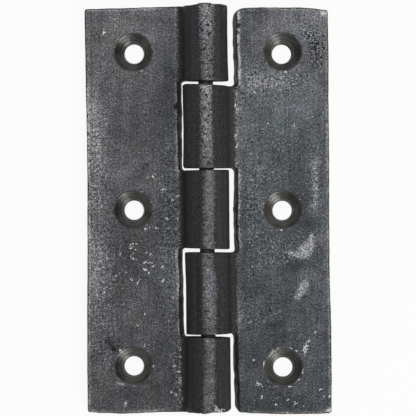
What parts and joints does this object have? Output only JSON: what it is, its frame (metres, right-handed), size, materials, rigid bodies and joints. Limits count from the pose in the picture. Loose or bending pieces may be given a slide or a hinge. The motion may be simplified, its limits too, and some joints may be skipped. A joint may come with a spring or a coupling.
{
  "type": "butt hinge",
  "caption": "Dark waxed steel butt hinge with interleaved round knuckles on a plain pin, its rectangular leaves drilled and countersunk for wood screws.",
  "frame": {"origin": "under the middle of the pin, on the plane of the leaves' backs", "axes": "+Z out of the countersunk faces of the open hinge, +Y along the pin, +X from the pin towards the two-knuckle leaf"},
  "size_m": [0.046, 0.0772, 0.0083],
  "materials": {
    "waxed_steel": "satin",
    "pin_steel": "satin"
  },
  "bodies": {
    "fixed_leaf": {"three_knuckle_leaf": "waxed_steel", "hinge_pin": "pin_steel"},
    "swing_leaf": {"two_knuckle_leaf": "waxed_steel"}
  },
  "joints": [
    {"name": "leaf_swing", "type": "hinge", "parent": "fixed_leaf", "child": "swing_leaf", "pos_m": [0, 0, 0.00415], "axis": [0, -1, 0], "range_deg": [-92, 187]}
  ]
}
